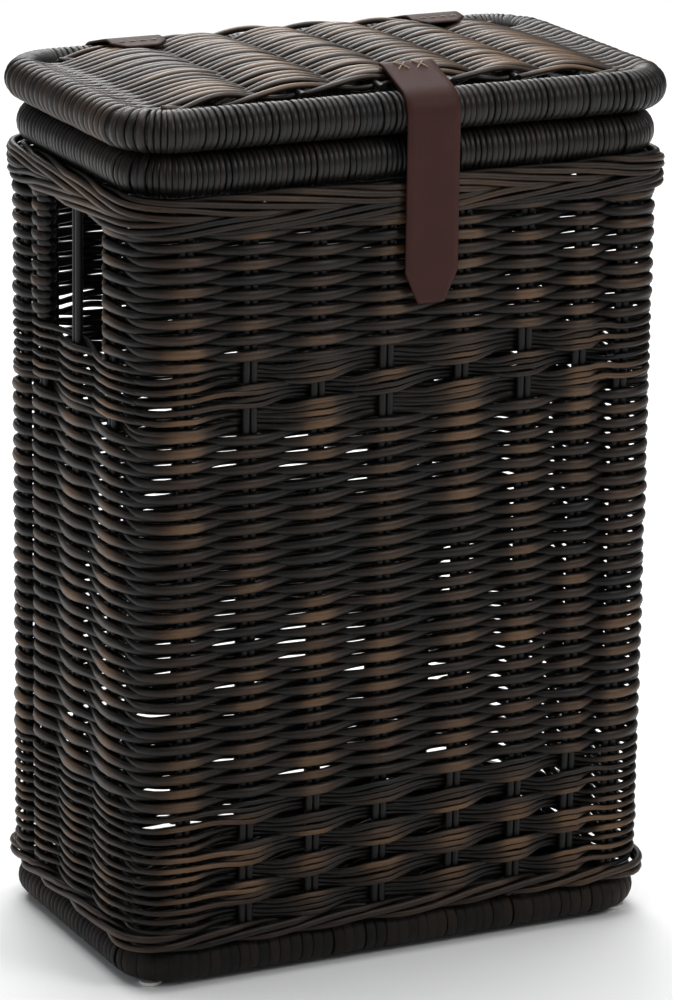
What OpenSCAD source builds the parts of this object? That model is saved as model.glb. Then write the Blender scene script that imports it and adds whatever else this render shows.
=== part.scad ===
// Tall lidded wicker basket: a pole-framed, stake-and-strand basket with a hinged lid,
// two hand openings and a leather pull strap. Millimetres, +Z up, front towards -Y,
// origin on the floor under the middle of the basket.
// Woven bands are closed solids with the true outer shape; every stake has its own channel.

/* [Body] */
// Outer width of the woven wall, left to right
body_w = 410; // [380:1:440]
// Outer depth of the woven wall, front to back
body_d = 244; // [230:1:270]
// Outer corner radius of the woven wall
body_r = 38; // [34:1:44]
// Thickness of the woven wall
wall_t = 13; // [12:0.5:16]

/* [Band heights] */
// Height of the pole frame's underside above the floor
foot_h = 3; // [2:0.5:5]
// Height of the twisted border above the base pole
border_h = 12.5; // [10:0.5:16]
// Height of the lower band of bundled strands
lower_wale_h = 90; // [60:1:110]
// Height of the long woven wall between the bundled bands
lower_randing_h = 269; // [200:1:300]
// Height of the middle band of bundled strands
middle_wale_h = 43; // [30:1:60]
// Height of the woven wall that holds the hand openings
upper_randing_h = 94; // [70:1:104]
// Height of the twisted band under the rim
top_wale_h = 22; // [18:1:34]

/* [Poles] */
// Radius of the base pole
base_pole_r = 11; // [9:0.5:12]
// Radius of the rim pole
rim_pole_r = 14; // [12:0.5:15]
// Radius of the lid pole
lid_pole_r = 12.7; // [11:0.1:14]
// Thickness of the cane wrapped round a pole
wrap_t = 2; // [1:0.1:2.5]
// How far the lid pole overhangs the wall at the left and right
lid_overhang_x = 8.5; // [4:0.5:10]
// How far the lid pole overhangs the wall at the front and back
lid_overhang_y = 4; // [4:0.5:6]
// How far the base pole sits in from the wall
base_inset = 0.5; // [0.5:0.5:5]

/* [Stakes] */
// Radius of one wall stake
stake_r = 2.7; // [2:0.1:3]
// Places of the stake pairs along the front and back, from the middle
long_side_stakes = [-166, -118, -67, -15, 43, 92, 135, 168];
// Places of the stake pairs along the left and right sides, from the middle
short_side_stakes = [-70, -8, 50, 84];

/* [Hand openings] */
// Width of a hand opening, front to back
handle_w = 92; // [80:1:94]
// How far the opening's middle lies behind the basket's middle
handle_y = -10; // [-14:1:-6]

/* [Lid panel] */
// Thickness of the woven lid panel
panel_t = 12; // [10:1:14]
// Radius of the dome that the lid panel follows
dome_r = 1600; // [1200:50:2400]
// Height of the panel's crown above the top of the lid pole
crown_h = 10; // [8:1:14]
// Gap between the panel and the front and back poles, filled by lacing strands
lacing_gap = 11; // [9:0.5:14]
// Radius of a lid rib
rib_r = 3; // [2:0.5:3.5]
// How far all the lid ribs are moved to the right
rib_shift = 0; // [-3:1:1]

/* [Floor panel] */
// Thickness of the woven floor
floor_t = 10; // [8:1:12]
// Number of ribs through the floor
floor_rib_count = 7; // [5:1:7]
// Height of the floor's underside above the ground
floor_z = 11; // [8:1:14]

/* [Leather] */
// Width of the pull strap
strap_w = 40; // [30:1:50]
// Thickness of the pull strap
strap_t = 2.8; // [2:0.1:3.5]
// Length of the part of the pull strap that hangs down
strap_drop = 127; // [100:1:160]
// How far the pull strap lies to the right of the middle
strap_x = 12; // [-20:1:20]
// Length of the strap's end that is cut to a point
strap_tip = 22; // [10:1:30]
// Width of a hinge tab
hinge_w = 42; // [30:1:50]
// Thickness of a hinge tab
hinge_t = 2; // [1.5:0.1:3]
// Distance of each hinge from the middle
hinge_x = 117; // [80:1:130]
// How far a hinge tab reaches down the back from the hinge line
hinge_drop = 54; // [40:1:58]
// How far a hinge tab reaches onto the lid from the pole's middle
hinge_reach = 46; // [40:1:64]
// How far the pull strap reaches onto the lid from the pole's middle
strap_reach = 38; // [34:1:60]
// Diameter of the stitching thread
thread_d = 0.9; // [0.6:0.1:1.2]

/* [Glides] */
// Radius of a floor glide
glide_r = 8; // [6:0.5:9]
// Length of the shank that holds a glide in the base pole
glide_shank = 9; // [6:1:12]

/* [Hidden] */
$fn = 96;
dome_fn = 240;
fit_gap = 0.1;      // between a pole and the cane round it
lie_gap = 0.3;      // between leather and what it lies on
slot_gap = 0.3;     // round a stake in its channel
body_gap = 0.4;     // between pieces that move apart
slit_w = 5;         // opening along the inner side of each wrapping

base_or = base_pole_r + fit_gap + wrap_t;
rim_or = rim_pole_r + fit_gap + wrap_t;
lid_or = lid_pole_r + fit_gap + wrap_t;

base_z = foot_h + base_or;
border_z = foot_h + 2 * base_or + fit_gap;
lower_wale_z = border_z + border_h;
lower_randing_z = lower_wale_z + lower_wale_h;
middle_wale_z = lower_randing_z + lower_randing_h;
upper_randing_z = middle_wale_z + middle_wale_h;
top_wale_z = upper_randing_z + upper_randing_h;
wall_top = top_wale_z + top_wale_h;
rim_z = wall_top + fit_gap + rim_or;
lid_z = rim_z + rim_or + body_gap + lid_or;
lid_top = lid_z + lid_or;

wale_out = 3;       // how far the twisted bands stand out from the wall
border_out = 2;
lid_corner_r = 48;
rim_corner_r = 42;
base_corner_r = 40;

// Centre-line sizes of the three pole hoops: [width, depth, corner radius]
base_line = [body_w - 2 * base_inset - 2 * base_or, body_d - 2 * base_inset - 2 * base_or,
             base_corner_r - base_or];
rim_line = [body_w - 1 - 2 * rim_or, body_d - 1 - 2 * rim_or, rim_corner_r - rim_or];
lid_line = [body_w + 2 * lid_overhang_x - 2 * lid_or, body_d + 2 * lid_overhang_y - 2 * lid_or,
            lid_corner_r - lid_or];

mid_x = body_w / 2 - wall_t / 2;
mid_y = body_d / 2 - wall_t / 2;
pair_offset = stake_r + 0.05;
slot_l = 4 * stake_r + 2 * slot_gap;
slot_t = 2 * stake_r + 2 * slot_gap;

panel_w = lid_line[0] - 2 * lid_or - 0.4;
panel_d = lid_line[1] - 2 * lid_or - 2 * lacing_gap;
panel_top = lid_top + crown_h;
rib_dome_r = dome_r - panel_t / 2;
lacing_r = 2;

hinge_line_y = lid_line[1] / 2 + lid_or + lie_gap + hinge_t / 2;
hinge_line_z = rim_z + rim_or + body_gap / 2;
strap_line_y = -(lid_line[1] / 2 + lid_or + body_gap + strap_t / 2);
strap_line_z = lid_z - 4;
stitch_rows = [-12, -4, 4, 12];

// ---------- Shared shapes ----------

// Filled rounded rectangle, centred
module rounded_rect(w, d, r) {
  square([w - 2 * r, d], center = true);
  square([w, d - 2 * r], center = true);
  for (sx = [-1, 1], sy = [-1, 1])
    translate([sx * (w / 2 - r), sy * (d / 2 - r)])
      circle(r);
}

// One straight rail of a hoop: side 0 is the right, 1 the back, 2 the left, 3 the front.
// The profile's x points outwards and its y points up.
module hoop_side(line, side) {
  across = side % 2 == 0 ? line[0] : line[1];
  along = (side % 2 == 0 ? line[1] : line[0]) - 2 * line[2];
  rotate(90 * side)
    translate([across / 2, along / 2, 0])
      rotate([90, 0, 0])
        linear_extrude(along)
          children();
}

// One corner of a hoop: corner 0 is back right, then anticlockwise seen from above
module hoop_corner(line, corner) {
  sx = corner == 0 || corner == 3 ? 1 : -1;
  sy = corner < 2 ? 1 : -1;
  translate([sx * (line[0] / 2 - line[2]), sy * (line[1] / 2 - line[2]), 0])
    rotate(90 * corner)
      rotate_extrude(angle = 90)
        translate([line[2], 0])
          children();
}

// A whole hoop swept from a profile
module hoop(line) {
  for (i = [0:3]) {
    hoop_side(line, i)
      children();
    hoop_corner(line, i)
      children();
  }
}

// Section of the cane wrapped round a pole, open along one side for the strands that enter there.
// The opening points at slit_dir degrees from outwards.
module wrap_section(pole_r, slit_dir) {
  difference() {
    circle(pole_r + fit_gap + wrap_t);
    circle(pole_r + fit_gap);
    rotate(slit_dir)
      translate([0, -slit_w / 2])
        square([3 * pole_r, slit_w]);
  }
}

// One pair of upright rods standing side by side along local x
module stake_pair(z0, z1) {
  for (s = [-1, 1])
    translate([s * pair_offset, 0, z0])
      cylinder(r = stake_r, h = z1 - z0);
}

// Puts children at every stake pair of one side: 0 right, 1 back, 2 left, 3 front
module at_stakes(side) {
  long = side % 2 == 1;
  places = long ? long_side_stakes : short_side_stakes;
  out = long ? mid_y : mid_x;
  dir = side < 2 ? 1 : -1;
  for (p = places)
    translate(long ? [p, dir * out, 0] : [dir * out, p, 0])
      rotate(long ? 0 : 90)
        children();
}

// Channels that the stakes run through
module stake_channels(z0, z1) {
  tall = z1 - z0 + 2;
  for (side = [0:3])
    at_stakes(side)
      translate([0, 0, z0 - 1 + tall / 2])
        cube([slot_l, slot_t, tall], center = true);
}

// A woven band: a closed ring between two heights, standing out from the wall by proud
module band(z0, h, proud = 0) {
  difference() {
    translate([0, 0, z0])
      linear_extrude(h)
        difference() {
          rounded_rect(body_w + 2 * proud, body_d + 2 * proud, body_r + proud);
          rounded_rect(body_w - 2 * wall_t, body_d - 2 * wall_t, body_r - wall_t);
        }
    stake_channels(z0, z0 + h);
  }
}

// Thin spherical layer that the lid panel and its ribs follow
module dome_layer(r_in, r_out) {
  translate([0, 0, panel_top - dome_r])
    difference() {
      sphere(r_out, $fn = dome_fn);
      sphere(r_in, $fn = dome_fn);
    }
}

// Height of the panel's top at a place on the lid
function panel_z(x, y) = panel_top - dome_r + sqrt(dome_r * dome_r - x * x - y * y);

// Places of the lid ribs, from left to right
rib_places = [for (x = [-134, -73, -15, 38, 90, 142]) x + rib_shift];
// Distance from the middle to the rib furthest from it
rib_far = max([for (x = rib_places) abs(x)]);

// Height of a rib's middle line at a place on the lid
function rib_z(x, y) = panel_top - dome_r + sqrt(rib_dome_r * rib_dome_r - x * x - y * y);

// Distance from the middle at which a rib at x meets the cane on the front and back poles
function rib_end_y(x) =
  let (rise = rib_z(x, lid_line[1] / 2 - lid_or) - rib_r - lid_z,
       reach = lid_or + 2 * fit_gap)
  lid_line[1] / 2 - sqrt(reach * reach - rise * rise);

// Points along an arc, from one angle to another
function arc(c, r, a0, a1, n = 16) =
  [for (i = [0:n]) c + r * [cos(a0 + (a1 - a0) * i / n), sin(a0 + (a1 - a0) * i / n)]];

// Side outline of leather that runs up the outside of a lid pole, over its top and a rib's end
// and onto the panel. Local x points outwards from the basket and y points up; start_z is where
// it begins, with its outer edge cut back so that the leather below can swing, and x_place is the
// highest place of the panel under it.
function over_pole(gap, t, start_z, x_place, reach) =
  let (c = [lid_line[1] / 2, lid_z],
       r_in = lid_or + gap,
       y_end = c[0] - reach,
       y_edge = panel_d / 2,
       z_end = panel_z(x_place, y_end) + lie_gap,
       z_edge = panel_z(x_place, y_edge) + lie_gap,
       y_rib = rib_end_y(x_place) + lie_gap,
       z_rib = rib_z(x_place, y_rib) + rib_r + 2 * lie_gap,
       to_rib = [y_rib, z_rib] - c,
       lift = atan2(to_rib[1], to_rib[0]) - acos(r_in / norm(to_rib)),
       up = t * [cos(lift), sin(lift)])
  concat([[c[0] + r_in, start_z]],
         arc(c, r_in, 0, lift),
         [[y_rib, z_rib], [y_edge, z_edge], [y_end, z_end], [y_end, z_end + t], [y_edge, z_edge + t],
          [y_rib, z_rib] + up],
         arc(c, r_in + t, lift, 0),
         [[c[0] + r_in + t, start_z + t / 3]]);

// Leather cut from a side outline; its end on the panel has clipped corners
module leather_over_pole(gap, t, w, start_z, x_place, reach) {
  clip = 9;
  intersection() {
    translate([-w / 2, 0, 0])
      rotate([90, 0, 90])
        linear_extrude(w)
          polygon(over_pole(gap, t, start_z, x_place, reach));
    y_end = lid_line[1] / 2 - reach;
    y_out = lid_line[1] / 2 + 2 * lid_or;
    linear_extrude(2 * lid_top)
      polygon([[-w / 2, y_out], [-w / 2, y_end + clip], [-w / 2 + clip, y_end],
               [w / 2 - clip, y_end], [w / 2, y_end + clip], [w / 2, y_out]]);
  }
}

// One stitch: a short bar of thread with round ends lying along local x
module stitch(l) {
  rotate([0, 90, 0])
    cylinder(d = thread_d, h = l, center = true);
  for (s = [-1, 1])
    translate([s * l / 2, 0, 0])
      sphere(d = thread_d);
}

// ---------- Base ----------

module base_hoop() {
  color("#3a2f28")
    translate([0, 0, base_z])
      hoop(base_line)
        circle(base_pole_r);
}

module base_wrap() {
  color("#2c2623")
    translate([0, 0, base_z])
      hoop(base_line)
        wrap_section(base_pole_r, 180);
}

// Place of a floor rib, counted from the left
function floor_rib_x(i) = (i - (floor_rib_count + 1) / 2) * (base_line[0] - 2 * base_or) / (floor_rib_count + 1);

// Rods that cross the floor from the front pole to the back pole
module base_ribs() {
  half = base_line[1] / 2 - base_or - fit_gap;
  color("#4a3b30")
    for (i = [1:floor_rib_count])
      translate([floor_rib_x(i), half, floor_z + floor_t / 2])
        rotate([90, 0, 0])
          cylinder(r = stake_r, h = 2 * half);
}

// Woven floor inside the base pole, with a channel for each rib
module base_panel() {
  w = base_line[0] - 2 * base_or - 2 * fit_gap;
  d = base_line[1] - 2 * base_or - 2 * fit_gap;
  color("#352b25")
    difference() {
      translate([0, 0, floor_z])
        linear_extrude(floor_t)
          rounded_rect(w, d, base_corner_r - 2 * base_or);
      for (i = [1:floor_rib_count])
        translate([floor_rib_x(i), 0, floor_z + floor_t / 2])
          cube([slot_t, d + 2, slot_t], center = true);
    }
}

// Four buttons under the corners, each held by a shank driven into the pole
module glides() {
  reach = base_line[2] * sqrt(0.5);
  edge = 1;
  color("#d8d6cf")
    for (sx = [-1, 1], sy = [-1, 1])
      translate([sx * (base_line[0] / 2 - base_line[2] + reach),
                 sy * (base_line[1] / 2 - base_line[2] + reach), 0])
        rotate_extrude()
          polygon([[0, 0], [glide_r - edge, 0], [glide_r, edge], [glide_r, foot_h - 0.1],
                   [1, foot_h - 0.1], [1, foot_h + glide_shank], [0, foot_h + glide_shank]]);
}

// ---------- Uprights ----------

module stakes(side) {
  color("#3c3029")
    at_stakes(side)
      stake_pair(border_z, wall_top);
}

module stakes_right() { stakes(0); }
module stakes_back() { stakes(1); }
module stakes_left() { stakes(2); }
module stakes_front() { stakes(3); }

// ---------- Woven wall ----------

module bottom_border() {
  color("#5a4636")
    band(border_z, border_h, border_out);
}

module lower_wale() {
  color("#4b3b2f")
    band(lower_wale_z, lower_wale_h);
}

module lower_randing() {
  color("#2f2a28")
    band(lower_randing_z, lower_randing_h);
}

module middle_wale() {
  color("#4b3b2f")
    band(middle_wale_z, middle_wale_h);
}

// Half of the wall between the hand openings: dir -1 is the front half, 1 the back half
module upper_randing(dir) {
  edge = handle_y + dir * handle_w / 2;
  color("#2f2a28")
    intersection() {
      band(upper_randing_z, upper_randing_h);
      translate([-body_w, dir < 0 ? edge - body_d : edge, 0])
        cube([2 * body_w, body_d, 2 * lid_top]);
    }
}

module upper_randing_front() { upper_randing(-1); }
module upper_randing_back() { upper_randing(1); }

module top_wale() {
  color("#5a4636")
    band(top_wale_z, top_wale_h, wale_out);
}

// ---------- Rim ----------

module rim_hoop() {
  color("#3a2f28")
    translate([0, 0, rim_z])
      hoop(rim_line)
        circle(rim_pole_r);
}

module rim_wrap() {
  color("#2c2623")
    translate([0, 0, rim_z])
      hoop(rim_line)
        wrap_section(rim_pole_r, 270);
}

// ---------- Lid ----------

module lid_hoop() {
  color("#3a2f28")
    translate([0, 0, lid_z])
      hoop(lid_line)
        circle(lid_pole_r);
}

// Cane round the front or back rail and its two corners
module long_rail_wrap(side) {
  corners = side == 1 ? [0, 1] : [2, 3];
  color("#33302f")
    translate([0, 0, lid_z]) {
      hoop_side(lid_line, side)
        wrap_section(lid_pole_r, 180);
      for (c = corners)
        hoop_corner(lid_line, c)
          wrap_section(lid_pole_r, 180);
    }
}

module lid_front_wrap() { long_rail_wrap(3); }
module lid_back_wrap() { long_rail_wrap(1); }

// Ends of the lid's own strands, turned round the left or right rail
module short_rail_wrap(side) {
  trim = fit_gap;
  color("#3d3430")
    intersection() {
      translate([0, 0, lid_z])
        hoop_side(lid_line, side)
          wrap_section(lid_pole_r, 180);
      cube([2 * body_w, lid_line[1] - 2 * lid_line[2] - 2 * trim, 3 * lid_top], center = true);
    }
}

module lid_side_wrap_left() { short_rail_wrap(2); }
module lid_side_wrap_right() { short_rail_wrap(0); }

// Arched bar that follows the dome from front to back, swept from a profile
module arched_bar(x_place, half_angle) {
  bend = sqrt(rib_dome_r * rib_dome_r - x_place * x_place);
  translate([x_place, 0, panel_top - dome_r])
    rotate([0, -90, 0])
      rotate([0, 0, -half_angle])
        rotate_extrude(angle = 2 * half_angle, $fn = 16 * dome_fn)
          translate([bend, 0])
            children();
}

module lid_ribs() {
  color("#4a3b30")
    for (x = rib_places)
      arched_bar(x, asin(rib_end_y(x) / rib_dome_r))
        circle(rib_r);
}

module lid_panel() {
  slot = 2 * rib_r + 2 * slot_gap;
  corner = 12;
  color("#6b5443")
    difference() {
      intersection() {
        dome_layer(dome_r - panel_t, dome_r);
        linear_extrude(2 * lid_top)
          rounded_rect(panel_w, panel_d, corner);
      }
      for (x = rib_places)
        arched_bar(x, asin(panel_d / rib_dome_r))
          square(slot, center = true);
    }
}

// Pair of long strands under the ribs, in the gap beside the front or back rail
module lacing(dir) {
  y = dir * (panel_d / 2 + lacing_gap / 2);
  span = lid_line[0] - 2 * lid_line[2];
  top_z = panel_z(rib_far, y) - panel_t / 2;
  color("#5f4c3e")
    translate([-span / 2, y, 0])
      rotate([0, 90, 0])
        for (dy = [-1, 1])
          translate([-(top_z - rib_r - lacing_r - 1), dy * (lacing_r + 0.1), 0])
            cylinder(r = lacing_r, h = span);
}

module lid_front_lacing() { lacing(-1); }
module lid_back_lacing() { lacing(1); }

// ---------- Leather ----------

// The part of a hinge tab that lies on the lid and runs down the back of its pole
module hinge_leaf_lid(side) {
  color("#4a2b26")
    translate([side * hinge_x, 0, 0])
      leather_over_pole(lie_gap, hinge_t, hinge_w, hinge_line_z + hinge_t / 2 + body_gap,
                        hinge_x - hinge_w / 2, hinge_reach);
}

// The part of a hinge tab below the hinge line, with a round upper edge on that line
module hinge_leaf_body(side) {
  clip = 9;
  color("#4a2b26")
    translate([side * hinge_x, hinge_line_y, hinge_line_z]) {
      rotate([0, 90, 0])
        cylinder(d = hinge_t, h = hinge_w, center = true);
      translate([0, hinge_t / 2, 0])
        rotate([90, 0, 0])
          linear_extrude(hinge_t)
            polygon([[-hinge_w / 2, 0], [hinge_w / 2, 0], [hinge_w / 2, clip - hinge_drop],
                     [hinge_w / 2 - clip, -hinge_drop], [clip - hinge_w / 2, -hinge_drop],
                     [-hinge_w / 2, clip - hinge_drop]]);
    }
}

module hinge_leaf_lid_left() { hinge_leaf_lid(-1); }
module hinge_leaf_lid_right() { hinge_leaf_lid(1); }
module hinge_leaf_body_left() { hinge_leaf_body(-1); }
module hinge_leaf_body_right() { hinge_leaf_body(1); }

// A row of stitches across the foot of each hinge tab
module hinge_stitches_body() {
  from_end = 12;
  stitch_l = 5;
  y = hinge_line_y + hinge_t / 2 + thread_d / 2 + 0.02;
  color("#b59a7c")
    for (side = [-1, 1], dx = stitch_rows)
      translate([side * hinge_x + dx, y, hinge_line_z - hinge_drop + from_end])
        stitch(stitch_l);
}

// Height of stitches that lie on leather on the panel
function on_leather_z(x, y, t) = panel_z(x, y) + lie_gap + t + thread_d / 2 + 0.15;

// A row of stitches across the end of each hinge tab on the lid
module hinge_stitches_lid() {
  from_end = 10;
  stitch_l = 5;
  y = lid_line[1] / 2 - hinge_reach + from_end;
  color("#b59a7c")
    for (side = [-1, 1], dx = stitch_rows)
      translate([side * hinge_x + dx, y, on_leather_z(hinge_x - hinge_w / 2, y, hinge_t)])
        stitch(stitch_l);
}

// The part of the pull strap that lies on the lid and bends over the front pole
module strap_root() {
  color("#3e2523")
    translate([strap_x, 0, 0])
      rotate(180)
        leather_over_pole(body_gap, strap_t, strap_w, strap_line_z + strap_t / 2 + body_gap, 0,
                          strap_reach);
}

// Two crossed stitches that hold the pull strap to the lid
module strap_stitches() {
  from_end = 7;
  stitch_l = 9;
  spread = 9;
  y = -(lid_line[1] / 2 - strap_reach + from_end);
  z = on_leather_z(0, y, strap_t);
  color("#c3ab8d")
    for (s = [-1, 1])
      translate([strap_x + s * spread, y, z]) {
        rotate(45)
          stitch(stitch_l);
        translate([0, 0, thread_d + 0.05])
          rotate(-45)
            stitch(stitch_l);
      }
}

// The part of the pull strap that hangs in front, with a round upper edge on its bend line
module strap_flap() {
  tip_w = strap_w / 2;
  color("#3e2523")
    translate([strap_x, strap_line_y, strap_line_z]) {
      rotate([0, 90, 0])
        cylinder(d = strap_t, h = strap_w, center = true);
      translate([0, strap_t / 2, 0])
        rotate([90, 0, 0])
          linear_extrude(strap_t)
            polygon([[-strap_w / 2, 0], [strap_w / 2, 0], [strap_w / 2, strap_tip - strap_drop],
                     [tip_w / 2, -strap_drop], [-tip_w / 2, -strap_drop],
                     [-strap_w / 2, strap_tip - strap_drop]]);
    }
}

base_hoop();
base_wrap();
base_ribs();
base_panel();
glides();
stakes_front();
stakes_back();
stakes_left();
stakes_right();
bottom_border();
lower_wale();
lower_randing();
middle_wale();
upper_randing_front();
upper_randing_back();
top_wale();
rim_hoop();
rim_wrap();
hinge_leaf_body_left();
hinge_leaf_body_right();
hinge_stitches_body();
lid_hoop();
lid_front_wrap();
lid_back_wrap();
lid_side_wrap_left();
lid_side_wrap_right();
lid_ribs();
lid_panel();
lid_front_lacing();
lid_back_lacing();
hinge_leaf_lid_left();
hinge_leaf_lid_right();
hinge_stitches_lid();
strap_root();
strap_stitches();
strap_flap();
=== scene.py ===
"""Tall lidded wicker basket: real strands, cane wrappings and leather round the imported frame.

Lengths in this file are metres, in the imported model's own frame: +Z up, front towards -Y.
"""

import math

import bpy
import numpy as np
from mathutils import Matrix, Vector


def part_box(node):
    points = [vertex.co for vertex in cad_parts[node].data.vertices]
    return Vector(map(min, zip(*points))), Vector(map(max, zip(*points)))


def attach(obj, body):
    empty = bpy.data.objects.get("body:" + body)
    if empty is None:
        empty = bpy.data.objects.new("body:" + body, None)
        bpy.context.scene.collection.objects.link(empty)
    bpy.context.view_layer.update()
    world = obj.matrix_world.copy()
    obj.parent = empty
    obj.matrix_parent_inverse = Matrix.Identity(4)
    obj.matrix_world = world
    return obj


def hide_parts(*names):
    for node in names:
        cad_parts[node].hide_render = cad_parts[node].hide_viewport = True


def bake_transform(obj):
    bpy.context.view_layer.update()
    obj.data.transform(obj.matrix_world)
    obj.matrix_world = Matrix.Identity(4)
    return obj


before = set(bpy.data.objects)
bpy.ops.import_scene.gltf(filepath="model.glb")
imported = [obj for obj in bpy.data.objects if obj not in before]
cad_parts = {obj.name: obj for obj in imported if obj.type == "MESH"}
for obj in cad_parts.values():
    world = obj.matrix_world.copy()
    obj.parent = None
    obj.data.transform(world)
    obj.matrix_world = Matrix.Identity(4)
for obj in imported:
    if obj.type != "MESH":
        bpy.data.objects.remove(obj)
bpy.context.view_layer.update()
random = np.random.default_rng(11)

MM = 0.001

# Driving sizes of the weave
WALL_THICKNESS = 13 * MM
WALL_CORNER = 38 * MM
RIM_CORNER = 42 * MM
LID_CORNER = 48 * MM
BASE_CORNER = 40 * MM
REED_DEEP = 2.45 * MM      # half thickness of a wall strand, pressed a little flat
REED_TALL = 3.0 * MM       # half height of a wall strand between two uprights
REED_SPREAD = 0.85 * MM    # extra half height where it presses on an upright
BUNDLE_REED = 2.2 * MM     # radius of a strand in a bundled band
LID_REED = 2.2 * MM        # radius of a lid strand
LID_PITCH = 4.3 * MM
RAIL_REED_DEEP = 2.2 * MM  # half sizes of a lid strand wound round a side rail
RAIL_REED_WIDE = 3.7 * MM
ROW_PITCH = 5.25 * MM
COURSE_STRANDS = 4
ROW_LEAN = 0.7 * MM        # how far a strand slants up where it passes outside an upright
BUNDLE_LEAN = 1.4 * MM
CORNER_BULGE = 3.4 * MM    # how far the strands belly out round a corner of the wall
BUNDLED_REACH = 150 * MM   # the front and back uprights nearer the middle than this gather bundles

# Pitches of the turns round the poles, on the long rails and on the side rails
BASE_TURNS = (8.0 * MM, 6.5 * MM)
RIM_TURNS = (4.0 * MM, 5.4 * MM)
LID_TURNS = (4.6 * MM, 6.6 * MM)

# Thicknesses of the cane round the poles, and of the strands at the lid's corners
BASE_CANE = 1.0 * MM
RIM_CANE = 1.4 * MM
LID_CANE = 2.0 * MM
LID_SIDE_REED = 4.0 * MM

# Gaps between the leather and what it lies on
STRAP_GAP = 0.4 * MM
TAB_GAP = 0.3 * MM


# ---------- Reading the frame ----------

def span(node):
    """Lowest and highest corner of a CAD node, as arrays."""
    low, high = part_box(node)
    return np.array(low), np.array(high)


def clusters(node, axis, gap=15 * MM):
    """Middles and half widths of a node's separate groups of vertices along one axis."""
    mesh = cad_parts[node].data
    co = np.zeros(len(mesh.vertices) * 3)
    mesh.vertices.foreach_get("co", co)
    places = np.unique(co.reshape(-1, 3)[:, axis])
    cuts = np.flatnonzero(np.diff(places) > gap) + 1
    groups = np.split(places, cuts)
    return [((g[0] + g[-1]) / 2, (g[-1] - g[0]) / 2) for g in groups]


# ---------- Outlines seen from above ----------

class Outline:
    """A rounded rectangle, measured anticlockwise from the middle of its back."""

    def __init__(self, width, depth, radius):
        self.width = width
        self.depth = depth
        self.radius = radius
        self.run_x = width - 2 * radius
        self.run_y = depth - 2 * radius
        self.arc = math.pi * radius / 2
        steps = [self.run_x / 2, self.arc, self.run_y, self.arc, self.run_x,
                 self.arc, self.run_y, self.arc, self.run_x / 2]
        self.starts = np.concatenate([[0], np.cumsum(steps)])
        self.length = self.starts[-1]

    def at(self, s):
        """Points and outward directions, as (n, 2) arrays, at distances s."""
        s = np.mod(s, self.length)
        x, y, r = self.run_x / 2, self.run_y / 2, self.radius
        begins = [(0, y + r), (-x, y), (-x - r, y), (-x, -y), (-x, -y - r),
                  (x, -y), (x + r, -y), (x, y), (x, y + r)]
        headings = [90, 90, 180, 180, 270, 270, 0, 0, 90]
        point = np.zeros((len(s), 2))
        normal = np.zeros((len(s), 2))
        for i, (begin, heading) in enumerate(zip(begins, headings)):
            part = (s >= self.starts[i]) & (s < self.starts[i + 1])
            along = s[part] - self.starts[i]
            turned = along / r if i % 2 else np.zeros(len(along))
            angle = math.radians(heading) + turned
            out = np.stack([np.cos(angle), np.sin(angle)], 1)
            normal[part] = out
            if i % 2:
                point[part] = np.array(begin) + r * out
            else:
                forward = np.array([-out[0, 1], out[0, 0]]) if len(out) else np.zeros(2)
                point[part] = np.array(begin) + along[:, None] * forward
        return point, normal

    def front(self, x):
        """Distance along the line of the place x on the front run."""
        return self.starts[4] + x + self.run_x / 2

    def back(self, x):
        return np.mod(-x, self.length)

    def left(self, y):
        return self.starts[2] + self.run_y / 2 - y

    def right(self, y):
        return self.starts[6] + y + self.run_y / 2


def smooth(t):
    t = np.clip(t, 0, 1)
    return t * t * (3 - 2 * t)


# ---------- Meshes made of many swept strands ----------

def round_section(sides=8):
    """Points of a unit circle; the first coordinate is the strand's outward side."""
    angle = 2 * math.pi * np.arange(sides) / sides
    return np.stack([np.cos(angle), np.sin(angle)], 1)


def flat_cane_section():
    """A wide split cane with a nearly flat top."""
    return np.array([(-0.9, 0.0), (-0.9, -0.9), (-0.1, -1.0), (0.75, -0.8),
                     (1.0, 0.0), (0.75, 0.8), (-0.1, 1.0), (-0.9, 0.9)])


def cane_section():
    """A split cane with a crowned top and a flat underside."""
    return np.array([(-0.9, 0.0), (-0.9, -0.85), (-0.1, -1.0), (0.75, -0.6),
                     (1.0, 0.0), (0.75, 0.6), (-0.1, 1.0), (-0.9, 0.85)])


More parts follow.
